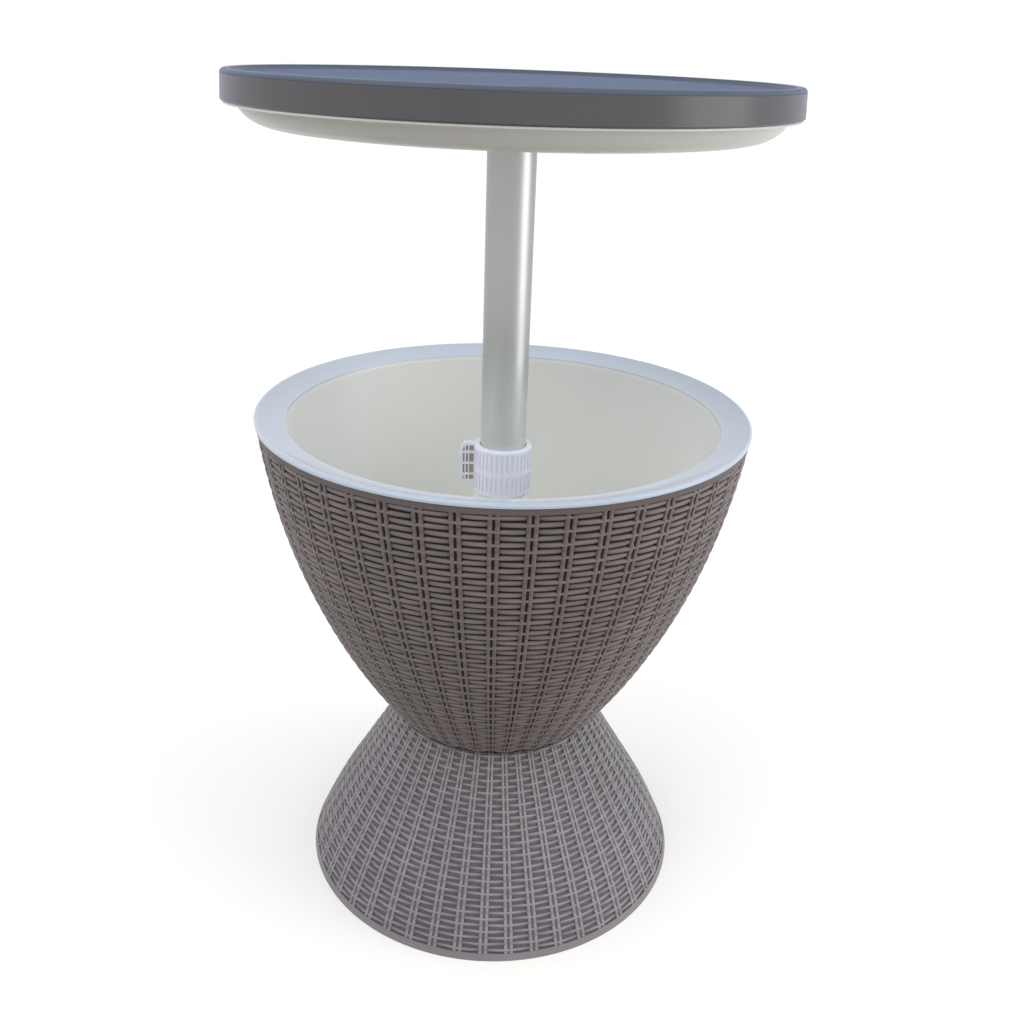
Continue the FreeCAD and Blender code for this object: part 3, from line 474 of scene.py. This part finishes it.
# The fasteners and the drain: zinc-plated steel screws, bolt and washer, and the moulded white
# bung that closes the bucket's drain, with a black rubber ring under its flange.

steel = Finish("zinc_steel", Metallic=1.0)
steel.feed("Base Color", steel.mix(steel.noise(80.0), rgb(176, 178, 180), rgb(196, 197, 196)))
smoothest, unevenness = 0.25, 0.2
steel.feed("Roughness", steel.noise(200.0) * unevenness + smoothest)
steel.bump(steel.noise(1200.0), distance=0.00005, strength=0.4)
fasteners = ("waist_screws", "column_screws", "lid_screws", "hub_bolt", "hub_washer")
steel.paint(*(nodes[name] for name in fasteners))
white_bung = moulded("white_bung", rgb(226, 228, 230), rgb(216, 218, 220), roughness=0.35)
white_bung.paint(nodes["drain_plug"])
black_seal = moulded("black_seal", rgb(34, 34, 35), rgb(26, 26, 27), roughness=0.6)
black_seal.paint(nodes["drain_seal"])


# The studio: a plain white floor that keeps the shadow, under a cool sky that is brightest
# overhead. The camera, mirrors and glass see the floor and the backdrop as white.

def seen_directly(tree):
    """1 for what the camera, a mirror or glass sees, and 0 for the light that bounces."""
    seen = tree.node("LightPath", out="Is Camera Ray")
    for kind in ("Is Glossy Ray", "Is Transmission Ray"):
        seen = tree.maths("MAXIMUM", seen, tree.node("LightPath", out=kind))
    return seen


below_the_foot = -0.0002
bpy.ops.object.select_all(action="DESELECT")
bpy.ops.mesh.primitive_plane_add(size=40.0, location=(0, 0, below_the_foot))
floor = bpy.context.object
floor.name = "floor"
ground = Finish("white_floor", Roughness=0.9, Specular_IOR_Level=0.0, Emission_Strength=1.0)
shown = seen_directly(ground)
ground.feed("Base Color", ground.mix(shown, rgb(158, 153, 146), rgb(240, 236, 229)))
ground.feed("Emission Color", ground.mix(shown, rgb(0, 0, 0), rgb(102, 101, 99)))
ground.paint(floor)

world = bpy.data.worlds.new("sky")
bpy.context.scene.world = world
sky = Tree(world)
white_backdrop = (1.0, 1.0, 1.0, 1.0)
horizon, overhead, full_height = (0.34, 0.35, 0.37, 1.0), (1.22, 1.27, 1.37, 1.0), 0.5
ahead_light, flank_light = 0.68, 0.95
across, climb = (sky.node("SeparateXYZ", {}, {0: sky.node("TexCoord", out="Generated")}, out=axis)
                 for axis in ("X", "Z"))
light = sky.mix(sky.fade(climb, 0.0, full_height, 0.0, 1.0), horizon, overhead)
light = sky.mix(1.0, light, across * across * flank_light + ahead_light, way="MULTIPLY")
shine = sky.mix(seen_directly(sky), light, white_backdrop)
sky.links.new(shine.socket, sky.nodes["Background"].inputs["Color"])


def soft_light(name, place, target, size, power, colour):
    """A large square lamp, aimed at a point, that the camera doesn't see."""
    lamp = bpy.data.lights.new(name, "AREA")
    lamp.size = size
    lamp.energy = power
    lamp.color = colour
    holder = bpy.data.objects.new(name, lamp)
    bpy.context.scene.collection.objects.link(holder)
    holder.location = place
    aim = Vector(target) - Vector(place)
    holder.rotation_euler = aim.to_track_quat("-Z", "Y").to_euler()
    holder.visible_camera = False


soft_light("key", (-1.4, -1.4, 2.2), (0, 0, 0.4), size=1.6, power=14.0,
           colour=(1.0, 0.98, 0.95))
soft_light("right_fill", (2.25, -0.6, 0.7), (0, 0, 0.5), size=1.4, power=20.0,
           colour=(0.98, 1.0, 0.99))

# The camera's turn, dip and tilt in radians, and its distance and height in metres.
yaw, pitch, roll = 0.0116, 0.4193, -0.0361
distance, eye_height = 1.0149, 0.8693
camera = bpy.data.cameras.new("camera")
camera.sensor_width = 36.0
camera.lens = 36.914
ahead = Vector((sin(yaw) * cos(pitch), cos(yaw) * cos(pitch), -sin(pitch)))
sideways = Vector((cos(yaw), -sin(yaw), 0.0))
down = ahead.cross(sideways)
right = cos(roll) * sideways + sin(roll) * down
below = -sin(roll) * sideways + cos(roll) * down
turn = Matrix((right, -below, -ahead)).transposed().to_4x4()
viewer = bpy.data.objects.new("camera", camera)
viewer.matrix_world = Matrix.Translation((0.0, -distance, eye_height)) @ turn
bpy.context.scene.collection.objects.link(viewer)
bpy.context.scene.camera = viewer
bpy.context.scene.view_settings.view_transform = "Standard"
